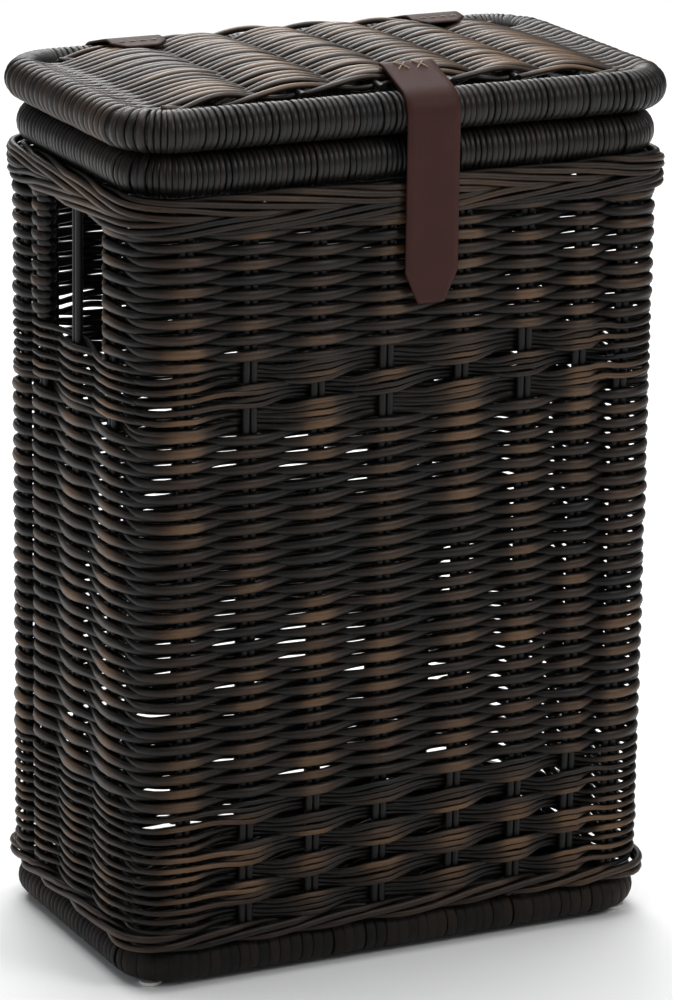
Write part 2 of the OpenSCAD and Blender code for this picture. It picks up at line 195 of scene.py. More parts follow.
class Strands:
    """Collects swept strands and turns them into one mesh object."""

    def __init__(self, section=None):
        self.section = round_section() if section is None else section
        self.vertices = []
        self.wear = []
        self.tone = []
        self.quads = []
        self.caps = []
        self.uvs = []
        self.count = 0

    def add(self, points, facing, thick, wide=None, wear=0.0, closed=False, tone=None):
        """One strand: facing points to its outward side, thick and wide are half sizes."""
        points = np.asarray(points, float)
        n = len(points)
        thick = np.broadcast_to(np.asarray(thick, float), n)
        wide = thick if wide is None else np.broadcast_to(np.asarray(wide, float), n)
        wear = np.broadcast_to(np.asarray(wear, float), n)
        tone = random.random() if tone is None else tone
        if closed:
            tangent = np.roll(points, -1, 0) - np.roll(points, 1, 0)
        else:
            tangent = np.gradient(points, axis=0)
        tangent /= np.linalg.norm(tangent, axis=1)[:, None] + 1e-12
        side = np.cross(tangent, facing)
        side /= np.linalg.norm(side, axis=1)[:, None] + 1e-12
        out = np.cross(side, tangent)
        k = len(self.section)
        out_part = self.section[:, 0][None, :, None] * (thick[:, None] * out)[:, None, :]
        side_part = self.section[:, 1][None, :, None] * (wide[:, None] * side)[:, None, :]
        self.vertices.append((points[:, None, :] + out_part + side_part).reshape(-1, 3))
        # The lighter brown goes on the strand's outward side only: real rubbed wear together with a
        # painted highlight.
        outward = np.clip(self.section[:, 0] * 1.3 + 0.15, 0, 1)
        self.wear.append((wear[:, None] * outward[None, :]).ravel())
        self.tone.append(np.full(n * k, tone))
        step = np.linalg.norm(np.diff(points, axis=0, append=points[:1]), axis=1)
        along = np.concatenate([[0], np.cumsum(step)]) + 10 * tone
        rings = n if closed else n - 1
        i = np.arange(rings)[:, None]
        j = np.arange(k)[None, :]
        i2 = (i + 1) % n
        j2 = (j + 1) % k
        quad = np.stack([i * k + j, i * k + j2, i2 * k + j2, i2 * k + j], -1)
        self.quads.append(quad.reshape(-1, 4) + self.count)
        u1 = along[i] + 0 * j
        u2 = along[i + 1] + 0 * j
        v1 = j / k + 0 * i
        v2 = (j + 1) / k + 0 * i
        uv = np.stack([np.stack([u1, v1], -1), np.stack([u1, v2], -1),
                       np.stack([u2, v2], -1), np.stack([u2, v1], -1)], 2)
        self.uvs.append(uv.reshape(-1, 2))
        if not closed:
            self.caps.append(self.count + np.arange(k)[::-1])
            self.caps.append(self.count + (n - 1) * k + np.arange(k))
        self.count += n * k

    def build(self, name, material):
        vertices = np.concatenate(self.vertices)
        quads = np.concatenate(self.quads)
        caps = self.caps
        k = len(self.section)
        mesh = bpy.data.meshes.new(name)
        mesh.vertices.add(len(vertices))
        mesh.vertices.foreach_set("co", vertices.ravel())
        loops = np.concatenate([quads.ravel()] + caps)
        starts = np.concatenate([np.arange(len(quads)) * 4,
                                 len(quads) * 4 + np.arange(len(caps)) * k])
        mesh.loops.add(len(loops))
        mesh.loops.foreach_set("vertex_index", loops.astype(np.int32))
        mesh.polygons.add(len(starts))
        mesh.polygons.foreach_set("loop_start", starts.astype(np.int32))
        mesh.update(calc_edges=True)
        mesh.validate()
        mesh.polygons.foreach_set("use_smooth", np.ones(len(mesh.polygons), bool))
        layer = mesh.uv_layers.new(name="UVMap")
        uv = np.concatenate(self.uvs + [np.zeros((len(caps) * k, 2))])
        layer.data.foreach_set("uv", uv.ravel().astype(np.float32))
        for label, values in (("wear", self.wear), ("tone", self.tone)):
            attribute = mesh.attributes.new(label, "FLOAT", "POINT")
            attribute.data.foreach_set("value", np.concatenate(values).astype(np.float32))
        mesh.materials.append(material)
        obj = bpy.data.objects.new(name, mesh)
        bpy.context.scene.collection.objects.link(obj)
        return obj


def finish_piece(obj, body, replaced=()):
    """Puts a piece on its body, and hides the CAD nodes it stands for."""
    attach(obj, body)
    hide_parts(*replaced)
    return obj


class Wobble:
    """Slow, seeded unevenness along a line, as a sum of a few sines."""

    def __init__(self, size, period, parts=4):
        self.size = size
        self.waves = 2 * math.pi / (period * (0.6 + random.random(parts)))
        self.phases = 2 * math.pi * random.random(parts)

    def at(self, s):
        s = np.asarray(s, float)[..., None]
        return self.size * np.sin(s * self.waves + self.phases).sum(-1) / len(self.waves) ** 0.5


# ---------- Materials ----------

def new_material(name, shine=0.4):
    material = bpy.data.materials.new(name)
    material.use_nodes = True
    tree = material.node_tree
    tree.nodes.clear()
    output = tree.nodes.new("ShaderNodeOutputMaterial")
    shader = tree.nodes.new("ShaderNodeBsdfPrincipled")
    shader.inputs["Specular IOR Level"].default_value = shine
    tree.links.new(shader.outputs["BSDF"], output.inputs["Surface"])
    return material, tree, shader


def add_node(tree, kind, links=(), **settings):
    """A shader node; settings are its properties or input values, links are (input, socket)."""
    node = tree.nodes.new("ShaderNode" + kind)
    for key, value in settings.items():
        if key in node.inputs:
            node.inputs[key].default_value = value
        else:
            setattr(node, key, value)
    for key, socket in links:
        tree.links.new(socket, node.inputs[key])
    return node


def attribute(tree, name):
    return add_node(tree, "Attribute", attribute_name=name).outputs["Fac"]


def math_node(tree, operation, a, b):
    node = add_node(tree, "Math", operation=operation)
    for index, value in enumerate((a, b)):
        if isinstance(value, (int, float)):
            node.inputs[index].default_value = value
        else:
            tree.links.new(value, node.inputs[index])
    return node.outputs[0]


def ramp(tree, factor, stops):
    """Colour ramp of (position, colour) stops."""
    node = add_node(tree, "ValToRGB", links=[("Fac", factor)])
    elements = node.color_ramp.elements
    while len(elements) < len(stops):
        elements.new(0.5)
    for element, (position, colour) in zip(elements, stops):
        element.position = position
        element.color = (*colour, 1)
    return node.outputs["Color"]


def bump(tree, shader, height, strength, distance):
    node = add_node(tree, "Bump", links=[("Height", height)], Strength=strength, Distance=distance)
    tree.links.new(node.outputs["Normal"], shader.inputs["Normal"])


def reed_material(name, dark, middle, light, roughness, rub_and_highlight, shine):
    """Stained rattan, rubbed back to brown where a strand stands out; that lighter brown is also a
    painted highlight on the crests.
    """
    material, tree, shader = new_material(name, shine)
    place = add_node(tree, "TexCoord")
    patches = add_node(tree, "TexNoise", links=[("Vector", place.outputs["Object"])],
                       Scale=9.0, Detail=2.0)
    stretch = add_node(tree, "Mapping", links=[("Vector", place.outputs["UV"])])
    stretch.inputs["Scale"].default_value = (75, 16, 1)
    fibres = add_node(tree, "TexNoise", links=[("Vector", stretch.outputs["Vector"])],
                      Scale=1.0, Detail=4.0, Roughness=0.65)
    wear = attribute(tree, "wear")
    tone = attribute(tree, "tone")
    patch = math_node(tree, "MULTIPLY", math_node(tree, "SUBTRACT", patches.outputs["Fac"], 0.5), 1.6)
    strand = math_node(tree, "MULTIPLY", math_node(tree, "SUBTRACT", tone, 0.5), 0.7)
    streak = math_node(tree, "MULTIPLY", math_node(tree, "SUBTRACT", fibres.outputs["Fac"], 0.5), 0.9)
    share = math_node(tree, "ADD", math_node(tree, "ADD", patch, strand),
                      math_node(tree, "ADD", streak, rub_and_highlight))
    # Rubbed wear and painted highlight: the colour goes lighter brown where the strand's crest stands
    # out.
    factor = math_node(tree, "MULTIPLY", wear, share)
    base = math_node(tree, "MULTIPLY", math_node(tree, "ADD", strand, 0.35), 0.12)
    factor = math_node(tree, "ADD", factor, base)
    colour = ramp(tree, factor, [(0.0, dark), (0.45, middle), (1.0, light)])
    tree.links.new(colour, shader.inputs["Base Color"])
    gloss = add_node(tree, "MapRange", links=[("Value", fibres.outputs["Fac"])])
    gloss.inputs["To Min"].default_value = roughness - 0.08
    gloss.inputs["To Max"].default_value = roughness + 0.12
    tree.links.new(gloss.outputs["Result"], shader.inputs["Roughness"])
    bump(tree, shader, fibres.outputs["Fac"], 0.45, 0.4 * MM)
    return material


def leather_material(name, colour, worn_and_highlight, roughness):
    """Smooth leather with fine pebbled grain and slow colour changes."""
    material, tree, shader = new_material(name, 0.18)
    place = add_node(tree, "TexCoord")
    grain = add_node(tree, "TexVoronoi", links=[("Vector", place.outputs["Object"])],
                     Scale=900.0, feature="SMOOTH_F1")
    pores = add_node(tree, "TexNoise", links=[("Vector", place.outputs["Object"])],
                     Scale=1500.0, Detail=3.0)
    clouds = add_node(tree, "TexNoise", links=[("Vector", place.outputs["Object"])],
                      Scale=45.0, Detail=4.0, Roughness=0.6)
    wear = attribute(tree, "wear")
    # The palest colour shows in random patches and where the leather bends, there as wear and a painted
    # highlight.
    factor = math_node(tree, "ADD", math_node(tree, "MULTIPLY", clouds.outputs["Fac"], 0.6), wear)
    tint = ramp(tree, factor, [(0.1, tuple(c * 0.7 for c in colour)), (0.4, colour), (1.0, worn_and_highlight)])
    tree.links.new(tint, shader.inputs["Base Color"])
    height = math_node(tree, "ADD", grain.outputs["Distance"],
                       math_node(tree, "MULTIPLY", pores.outputs["Fac"], 0.5))
    shader.inputs["Roughness"].default_value = roughness
    bump(tree, shader, height, 0.35, 0.25 * MM)
    return material


def plain_material(name, colour, roughness, grain_scale=400.0, grain=0.1, **inputs):
    """Simple finish with a faint mottling."""
    material, tree, shader = new_material(name)
    place = add_node(tree, "TexCoord")
    noise = add_node(tree, "TexNoise", links=[("Vector", place.outputs["Object"])],
                     Scale=grain_scale, Detail=3.0)
    tint = ramp(tree, noise.outputs["Fac"], [(0.3, tuple(c * (1 - grain) for c in colour)),
                                             (0.7, colour)])
    tree.links.new(tint, shader.inputs["Base Color"])
    shader.inputs["Roughness"].default_value = roughness
    for key, value in inputs.items():
        shader.inputs[key.replace("_", " ")].default_value = value
    bump(tree, shader, noise.outputs["Fac"], 0.15, 0.2 * MM)
    return material


wall_reed = reed_material("wall_reed", (0.003, 0.0028, 0.0027), (0.026, 0.015, 0.009),
                          (0.115, 0.064, 0.032), 0.40, 0.5, 0.22)
# The lid's strands are lighter and more rubbed than the wall's: real wear and a painted sheen on the
# top.
lid_reed = reed_material("lid_reed", (0.0075, 0.006, 0.005), (0.05, 0.031, 0.019),
                         (0.16, 0.097, 0.053), 0.36, 0.58, 0.36)
dark_cane = reed_material("dark_cane", (0.004, 0.0037, 0.0035), (0.014, 0.010, 0.008),
                          (0.06, 0.036, 0.023), 0.38, 0.3, 0.28)
base_cane = reed_material("base_cane", (0.005, 0.0043, 0.0038), (0.016, 0.0105, 0.0075),
                          (0.05, 0.031, 0.021), 0.6, 0.35, 0.16)
stake_rattan = reed_material("stake_rattan", (0.004, 0.0035, 0.0033), (0.016, 0.011, 0.008),
                             (0.05, 0.03, 0.02), 0.42, 0.3, 0.22)
pull_leather = leather_material("pull_leather", (0.042, 0.0125, 0.0095), (0.085, 0.036, 0.027), 0.55)
tab_leather = leather_material("tab_leather", (0.036, 0.0135, 0.011), (0.075, 0.036, 0.028), 0.58)
thread = plain_material("waxed_thread", (0.42, 0.30, 0.20), 0.6, 900.0, 0.3)
glide_plastic = plain_material("glide_plastic", (0.75, 0.74, 0.70), 0.35, 200.0, 0.05)


# ---------- Woven wall ----------

wall_low, wall_high = span("lower_randing")
WALL = Outline(wall_high[0] - wall_low[0] - WALL_THICKNESS,
               wall_high[1] - wall_low[1] - WALL_THICKNESS,
               WALL_CORNER - WALL_THICKNESS / 2)


def uprights():
    """Places along the wall and half widths of every stake pair, in order."""
    found = []
    for x, half in clusters("stakes_front", 0):
        found.append((WALL.front(x), half))
    for x, half in clusters("stakes_back", 0):
        found.append((WALL.back(x), half))
    for y, half in clusters("stakes_left", 1):
        found.append((WALL.left(y), half))
    for y, half in clusters("stakes_right", 1):
        found.append((WALL.right(y), half))
    return np.array(sorted(found))


POSTS = uprights()
STAKE_RADIUS = (span("stakes_front")[1][1] - span("stakes_front")[0][1]) / 2
SWING = STAKE_RADIUS + REED_DEEP - 0.1 * MM


def wall_samples(s0, s1, per_span=10):
    """Evenly spaced distances along the wall from s0 to s1."""
    count = int(round((s1 - s0) / WALL.length * len(POSTS) * per_span))
    return np.linspace(s0, s1, count + 1)


def span_share(s):
    """The uprights before and after distance s, and the share of the way between them."""
    places = POSTS[:, 0]
    halves = POSTS[:, 1]
    n = len(places)
    s = np.mod(s, WALL.length)
    i = np.searchsorted(places, s, side="right") - 1
    before = i % n
    after = (i + 1) % n
    start = np.where(i < 0, places[before] - WALL.length, places[before])
    end = np.where(i >= n - 1, places[after] + WALL.length, places[after])
    end = np.where(i < 0, places[after], end)
    hold_a = halves[before] * 0.9
    hold_b = halves[after] * 0.9
    t = (s - start - hold_a) / (end - start - hold_a - hold_b)
    return before, after, np.clip(t, 0, 1)


def side_swing(s, signs):
    """Swing from -1 inside to 1 outside of a strand that passes upright i on side signs[i]."""
    before, after, t = span_share(s)
    b = 0.5 * smooth(t) + 0.5 * t
    return signs[before] * (1 - b) + signs[after] * b


def side_lean(s, signs):
    """Rise of a strand as it comes out of the wall and fall as it goes in, from -1 to 1."""
    before, _, t = span_share(s)
    return signs[before] * np.sin(math.pi * t)


def upright_count(s):
    """Smooth count of uprights passed at distance s, used by the twisted bands."""
    places = np.concatenate([POSTS[-1:, 0] - WALL.length, POSTS[:, 0], POSTS[:1, 0] + WALL.length])
    return np.interp(np.mod(s, WALL.length), places, np.arange(len(places)) - 1.0)


def corner_bulge(s):
    """How far the strands stand out of the wall's middle round a corner."""
    s = np.mod(s, WALL.length)
    run = np.searchsorted(WALL.starts, s, side="right") - 1
    share = (s - WALL.starts[run]) / WALL.arc
    return np.where(run % 2, CORNER_BULGE * np.sin(math.pi * np.clip(share, 0, 1)) ** 2, 0.0)


def wall_points(s, swing, z):
    """Points of a strand at distances s, swung in or out, at heights z, and its outward side."""
    point, normal = WALL.at(s)
    flat = point + normal * (swing + corner_bulge(s))[:, None]
    z = np.broadcast_to(z, len(s))
    facing = np.concatenate([normal, np.zeros((len(s), 1))], 1)
    return np.concatenate([flat, z[:, None]], 1), facing


def crest(swing):
    """Rubbed wear and painted highlight of a strand where it stands out of the wall."""
    return np.clip(swing / SWING - 0.05, 0, 1) ** 1.8


def reed_height(swing):
    """Half height of a wall strand, flattened where it presses on an upright."""
    return REED_TALL + REED_SPREAD * np.clip(np.abs(swing) / SWING, 0, 1) ** 1.5


sag = Wobble(0.7 * MM, 0.5)
drift = Wobble(0.5 * MM, 0.11)


def settle(s, z):
    """Slow rise and fall that neighbouring rows share."""
    return sag.at(s) + drift.at(s + 2.7 * z)


def alternate(row):
    return np.where((np.arange(len(POSTS)) + row) % 2 == 0, 1.0, -1.0)


def closed_row(strands, row, z):
    """One full round of plain weave."""
    s = wall_samples(0, WALL.length)[:-1]
    signs = alternate(row) * (1 + 0.07 * random.standard_normal(len(POSTS)))
    swing = SWING * side_swing(s, signs)
    jitter = Wobble(0.22 * MM, 0.08).at(s)
    lean = ROW_LEAN * side_lean(s, signs)
    points, facing = wall_points(s, swing, z + settle(s, z) + lean + jitter)
    size = 1 + 0.05 * random.standard_normal()
    tall = size * reed_height(swing)
    strands.add(points, facing, REED_DEEP * size, tall, wear=crest(swing), closed=True)


def randing(name, node):
    """Plain over-one, under-one weave that fills a band."""
    low, high = span(node)
    rows = int(round((high[2] - low[2]) / ROW_PITCH))
    pitch = (high[2] - low[2]) / rows
    strands = Strands()
    for row in range(rows):
        closed_row(strands, row, low[2] + (row + 0.5) * pitch)
    return finish_piece(strands.build(name, wall_reed), "basket", [node])


def turned_randing(name, node, s_first, s_last):
    """Plain weave that goes to and fro between two edge uprights and turns round each."""
    low, high = span(node)
    rows = int(round((high[2] - low[2]) / ROW_PITCH))
    pitch = (high[2] - low[2]) / rows
    if s_last < s_first:
        s_last += WALL.length
    half = POSTS[0, 1]
    strands = Strands()
    for row in range(rows):
        z = low[2] + (row + 0.5) * pitch
        s = wall_samples(s_first, s_last)
        signs = alternate(row) * (1 + 0.07 * random.standard_normal(len(POSTS)))
        swing = SWING * side_swing(s, signs)
        height = z + settle(s, z) + Wobble(0.2 * MM, 0.08).at(s)
        turn = np.radians(np.arange(15, 180, 15))
        side = math.copysign(1, swing[-1])
        turn_s = s_last + (half + SWING) * np.sin(turn) * 0.8
        turn_swing = side * SWING * np.cos(turn)
        turn_z = height[-1] + pitch * turn / math.pi / 2
        s = np.concatenate([s, turn_s])
        swing = np.concatenate([swing, turn_swing])
        height = np.concatenate([height, turn_z])
        side = math.copysign(1, swing[0])
        lead = turn[::-1]
        s = np.concatenate([s_first - (half + SWING) * np.sin(lead) * 0.8, s])
        swing = np.concatenate([side * SWING * np.cos(lead), swing])
        height = np.concatenate([height[0] - pitch * lead / math.pi / 2, height])
        points, facing = wall_points(s, swing, height)
        size = 1 + 0.05 * random.standard_normal()
        strands.add(points, facing, REED_DEEP * size, size * reed_height(swing), wear=crest(swing))
    return finish_piece(strands.build(name, wall_reed), "basket", [node])


def gathering():
    """1 at the uprights where strands pass in bundles, 0 where they pass one by one."""
    point, normal = WALL.at(POSTS[:, 0])
    on_long_side = np.abs(normal[:, 1]) > 0.5
    return np.where(on_long_side & (np.abs(point[:, 0]) < BUNDLED_REACH), 1.0, 0.0)


def bundled_band(name, node, courses, count):
    """Strands in bundles along the front and back that part into plain weave round the sides."""
    low, high = span(node)
    height = (high[2] - low[2]) / courses
    pitch = height / count
    gathered = gathering()
    strands = Strands()
    s = wall_samples(0, WALL.length)[:-1]
    places = POSTS[:, 0]
    share = smooth(np.interp(s, places, gathered, period=WALL.length))
    for row in range(courses * count):
        course = row // count
        order = row % count - (count - 1) / 2
        signs = np.where(gathered > 0, alternate(course), alternate(row))
        signs = signs * (1 + 0.05 * random.standard_normal(len(POSTS)))
        swing = SWING * side_swing(s, signs)
        out = np.clip(swing / SWING, -1, 1)
        middle = low[2] + (course + 0.5) * height
        # The strands of a bundle lie closest inside the wall and widest over an upright
        spread = 1.94 * BUNDLE_REED * (0.72 + 0.2 * np.abs(out) + 0.12 * out)
        even = order * pitch
        # Between uprights they step in and out by turns, so that they don't run into each other
        stack = 0.9 * MM * (1 - np.abs(out)) * (1 if row % 2 else -1) * share
        z = middle + order * spread * share + even * (1 - share)
        lean = BUNDLE_LEAN * side_lean(s, signs)
        z = z + settle(s, middle) + lean + Wobble(0.3 * MM, 0.1).at(s)
        points, facing = wall_points(s, swing + stack, z)
        radius = BUNDLE_REED * (1 + 0.06 * random.standard_normal())
        strands.add(points, facing, radius, wear=crest(swing), closed=True)
    return finish_piece(strands.build(name, wall_reed), "basket", [node])


def twisted_round(strands, middle, rise, slope, radius, proud, count=4):
    """Rope-like round: each strand passes behind one upright, then in front of the others."""
    s = wall_samples(0, WALL.length)[:-1]
    turned = upright_count(s)
    for j in range(count):
        phase = 2 * math.pi * (turned + j) / count
        swing = SWING * np.clip(0.45 - 1.6 * np.cos(phase), -1, 1.15) + proud
        z = middle + slope * rise * np.sin(phase) + settle(s, middle) + Wobble(0.5 * MM, 0.12).at(s)
        points, facing = wall_points(s, swing, z)
        size = radius * (1 + 0.06 * random.standard_normal())
        strands.add(points, facing, size, wear=0.6 * crest(swing), closed=True)


def top_wale():
    """Two twisted rounds that slope opposite ways, one over the other."""
    low, high = span("top_wale")
    quarter = (high[2] - low[2]) / 4
    strands = Strands()
    twisted_round(strands, low[2] + quarter, 5.0 * MM, -1, 2.4 * MM, 0.8 * MM, 6)
    twisted_round(strands, high[2] - quarter + 1 * MM, 5.8 * MM, 1, 2.5 * MM, 1.2 * MM, 6)
    return finish_piece(strands.build("top_wale_weave", wall_reed), "basket", ["top_wale"])


def bottom_border():
    """One twisted round of four strands."""
    low, high = span("bottom_border")
    strands = Strands()
    twisted_round(strands, (low[2] + high[2]) / 2, 4.4 * MM, -1, 2.6 * MM, 0.8 * MM)
    name = "bottom_border_weave"
    return finish_piece(strands.build(name, wall_reed), "basket", ["bottom_border"])


def woven_wall():
    """All the bands of the wall, from the bottom up."""
    bottom_border()
    bundled_band("lower_wale_weave", "lower_wale", 6, COURSE_STRANDS)
    randing("lower_randing_weave", "lower_randing")
    bundled_band("middle_wale_weave", "middle_wale", 3, COURSE_STRANDS)
    places = np.array([y for y, _ in clusters("stakes_left", 1)])
    front_edge = places[places < span("upper_randing_front")[1][1]].max()
    back_edge = places[places > span("upper_randing_back")[0][1]].min()
    turned_randing("upper_randing_front_weave", "upper_randing_front",
                   WALL.left(front_edge), WALL.right(front_edge))
    turned_randing("upper_randing_back_weave", "upper_randing_back",
                   WALL.right(back_edge), WALL.left(back_edge))
    top_wale()


# ---------- Poles and their cane wrappings ----------

def hoop_outline(node, corner):
    """Centre line, height and radius of a pole hoop, from its CAD wrapping's size and corner."""
    low, high = span(node)
    radius = (high[2] - low[2]) / 2
    width, depth = (high - low)[:2] - 2 * radius
    return Outline(width, depth, corner - radius), (low[2] + high[2]) / 2, radius


def turn_places(outline, outer, long_pitch, side_pitch, s0=0.0, s1=None):
    """Distances and pitches of the turns along a hoop, from the middle of one corner to another.

    The long rails and the side rails have their own pitch, closer on the centre line in a corner.
    """
    s1 = outline.length if s1 is None else s1
    places = []
    s = s0
    while s < s1:
        at = s % outline.length
        run = np.searchsorted(outline.starts, at, side="right") - 1
        squeeze = outline.radius / (outline.radius + 0.75 * outer) if run % 2 else 1.0
        _, normal = outline.at(np.array([at]))
        pitch = side_pitch if abs(normal[0, 0]) > abs(normal[0, 1]) else long_pitch
        places.append((s, pitch))
        s += pitch * squeeze * (1 + 0.07 * random.standard_normal())
    return places


def wrap_hoop(strands, outline, height, outer, places, thickness, wear=0.5):
    """Turns of cane round a pole: outer is the wrapping's outside radius."""
    angle = np.linspace(0, 2 * math.pi, 25)[:-1]
    for place, pitch in places:
        point, normal = outline.at(np.array([place]))
        out = np.array([*normal[0], 0])
        up = np.array([0, 0, 1.0])
        along = np.array([-normal[0, 1], normal[0, 0], 0])
        centre = np.array([*point[0], height])
        lift = thickness * 0.12 * random.random()
        radius = outer - thickness / 2 - lift
        radial = np.cos(angle)[:, None] * out + np.sin(angle)[:, None] * up
        tilt = 0.35 * MM * random.standard_normal()
        points = centre + radius * radial + (tilt * np.cos(angle + 0.6))[:, None] * along
        half = 0.53 * pitch * (1 + 0.07 * random.standard_normal())
        # Painted highlight: each turn of cane is lighter on its upper outer side, added to its rubbed
        # wear.
        wear_and_top_highlight = wear * np.clip(0.35 + 0.65 * radial @ (out * 0.7 + up * 0.7), 0, 1)
        strands.add(points, radial, thickness / 2, half, wear=wear_and_top_highlight, closed=True)


def wrapped_poles():
    """Cane on the base, rim and lid poles, and strands on the lid's corners beyond its weave."""
    base, base_height, base_outer = hoop_outline("base_wrap", BASE_CORNER)
    turns = Strands(flat_cane_section())
    places = turn_places(base, base_outer, *BASE_TURNS)
    wrap_hoop(turns, base, base_height, base_outer, places, BASE_CANE, wear=0.5)
    finish_piece(turns.build("base_wrap_turns", base_cane), "basket", ["base_wrap"])

    rim, rim_height, rim_outer = hoop_outline("rim_wrap", RIM_CORNER)
    turns = Strands(cane_section())
    places = turn_places(rim, rim_outer, *RIM_TURNS)
    wrap_hoop(turns, rim, rim_height, rim_outer, places, RIM_CANE, wear=0.5)
    finish_piece(turns.build("rim_wrap_turns", dark_cane), "basket", ["rim_wrap"])

    lid, lid_height, lid_outer = lid_rail()
    corner = lid.arc / 2
    rails = (("lid_left", "lid_side_wrap_left", lid.starts[1] + corner, lid.starts[3] + corner),
             ("lid_front", "lid_front_wrap", lid.starts[3] + corner, lid.starts[5] + corner),
             ("lid_right", "lid_side_wrap_right", lid.starts[5] + corner, lid.starts[7] + corner),
             ("lid_back", "lid_back_wrap", lid.starts[7] + corner, lid.length + lid.starts[1] + corner))
    woven_edge = lid_rows().max() + LID_REED
    for name, node, start, end in rails:
        on_side = "side" in node
        places = turn_places(lid, lid_outer, *LID_TURNS, start, end)
        if on_side:
            places = [place for place in places
                      if abs(lid.at(np.array([place[0]]))[0][0, 1]) > woven_edge]
        turns = Strands(round_section() if on_side else cane_section())
        thickness = LID_SIDE_REED if on_side else LID_CANE
        wrap_hoop(turns, lid, lid_height, lid_outer, places, thickness, wear=0.45)
        finish_piece(turns.build(name + "_wrap_turns", dark_cane), "lid", [node])


# ---------- Lid ----------

def lid_rail():
    """Outline of the lid pole, its height and the wrapping's radius."""
    low, high = span("lid_front_wrap")
    outer = (high[2] - low[2]) / 2
    pole_low, pole_high = span("lid_hoop")
    wrap = outer - (pole_high[2] - pole_low[2]) / 2
    width = pole_high[0] - pole_low[0] + 2 * wrap - 2 * outer
    depth = pole_high[1] - pole_low[1] + 2 * wrap - 2 * outer
    return Outline(width, depth, LID_CORNER - outer), (low[2] + high[2]) / 2, outer


def dome(node, thickness):
    """Height function of the lid panel's middle layer, from the panel's own box."""
    low, high = span(node)
    half_x = (high[0] - low[0]) / 2
    half_y = (high[1] - low[1]) / 2
    drop = (high[2] - low[2]) - thickness
    radius = (half_x ** 2 + half_y ** 2) / (2 * drop)
    return lambda x, y: high[2] - thickness / 2 - (x * x + y * y) / (2 * radius)


PANEL_THICKNESS = 12 * MM
LACING_CLEARANCE = 3.2 * MM   # how far leather lifts off the panel's edge, to clear the lacing
panel_height = dome("lid_panel", PANEL_THICKNESS)


def lid_rows():
    """Places, front to back, of the lid's strands."""
    low, high = span("lid_panel")
    count = int((high[1] - low[1] - 2 * MM) / LID_PITCH)
    return (np.arange(count + 1) - count / 2) * LID_PITCH


def lid_strand_end(y, wraps_rail):
    """End of a lid strand, in the XZ plane: wound round the side rail or tucked in beside it."""
    rail, rail_z, rail_outer = lid_rail()
    past_corner = max(abs(y) - rail.run_y / 2, 0)
    rail_x = rail.run_x / 2 + math.sqrt(rail.radius ** 2 - past_corner ** 2)
    if wraps_rail:
        return arc_points((rail_x, rail_z), rail_outer - RAIL_REED_DEEP, 128, -120, 28)
    return arc_points((rail_x, rail_z), rail_outer - LID_REED, 158, 176, 4)


def lid_weave():
    """Lid strands: over and under the ribs, then round the side rails by turns."""
    rail, _, rail_outer = lid_rail()
    ribs = np.array([x for x, _ in clusters("lid_ribs", 0)])
    swing = clusters("lid_ribs", 0)[0][1] + LID_REED + 0.6 * MM
    edge = rail.width / 2 - rail_outer - 2 * MM
    knots = np.concatenate([[-edge], ribs, [edge]])
    x = np.linspace(-edge, edge, 105)
    i = np.clip(np.searchsorted(knots, x) - 1, 0, len(knots) - 2)
    t = smooth(((x - knots[i]) / (knots[i + 1] - knots[i]) - 0.04) / 0.92)
    strands = Strands()
    for row, y in enumerate(lid_rows()):
        signs = np.where((np.arange(len(ribs)) + row) % 2 == 0, 1.0, -1.0)
        swings = signs * (1 + 0.08 * random.standard_normal(len(ribs)))
        values = np.concatenate([[0.1], swings, [0.1]])
        lift = values[i] * (1 - t) + values[i + 1] * t
        panel = np.stack([x, panel_height(x, y) + swing * lift], 1)
        ends = [lid_strand_end(y, sign < 0) for sign in (signs[0], signs[-1])]
        path = np.concatenate([ends[0][::-1] * (-1, 1), panel, ends[1]])
        path = soften(path, 2)
        before, after = len(ends[0]), len(ends[1])
        over = np.concatenate([np.full(before, 0.1), np.clip(lift, 0, 1), np.full(after, 0.1)])
        on_rail = np.concatenate([np.full(before, 1.0), np.zeros(len(x)), np.full(after, 1.0)])
        share = soften(on_rail, 6)
        size = 1 + 0.05 * random.standard_normal()
        wide = (LID_REED + 1.5 * MM * over) * (1 - share) + RAIL_REED_WIDE * share
        deep = LID_REED * (1 - share) + RAIL_REED_DEEP * share
        tangent = np.gradient(path, axis=0)
        facing = np.stack([-tangent[:, 1], np.zeros(len(path)), tangent[:, 0]], 1)
        points = np.stack([path[:, 0], y + Wobble(0.4 * MM, 0.12).at(path[:, 0]), path[:, 1]], 1)
        # Lighter where a strand passes over a rib: rubbed wear and a painted sheen.
        strands.add(points, facing, deep * size, wide * size, wear=0.15 + 0.75 * over)
    return finish_piece(strands.build("lid_weave", lid_reed), "lid", ["lid_panel"])


def lid_lacing(name, node, rise):
    """Two long strands twisted together in the gap beside a rail."""
    low, high = span(node)
    middle = (low + high) / 2
    x = np.linspace(low[0] - 6 * MM, high[0] + 6 * MM, 120)
    period = 108 * MM
    strands = Strands()
    for j in range(2):
        phase = 2 * math.pi * x / period + math.pi * j
        side = math.copysign(1, middle[1])
        y = middle[1] + side * 2.8 * MM * np.cos(phase)
        z = panel_height(x, middle[1]) + 1.5 * MM + rise * np.sin(phase) + Wobble(0.5 * MM, 0.1).at(x)
        facing = np.tile([0.0, 0.35 * side, 1.0], (len(x), 1))
        # Lighter on the raised turns of the twist: rubbed wear and a painted highlight.
        wear = np.clip(0.5 + 0.5 * np.sin(phase), 0, 1)
        strands.add(np.stack([x, y, z], 1), facing, BUNDLE_REED, wear=wear)
    return finish_piece(strands.build(name, lid_reed), "lid", [node])


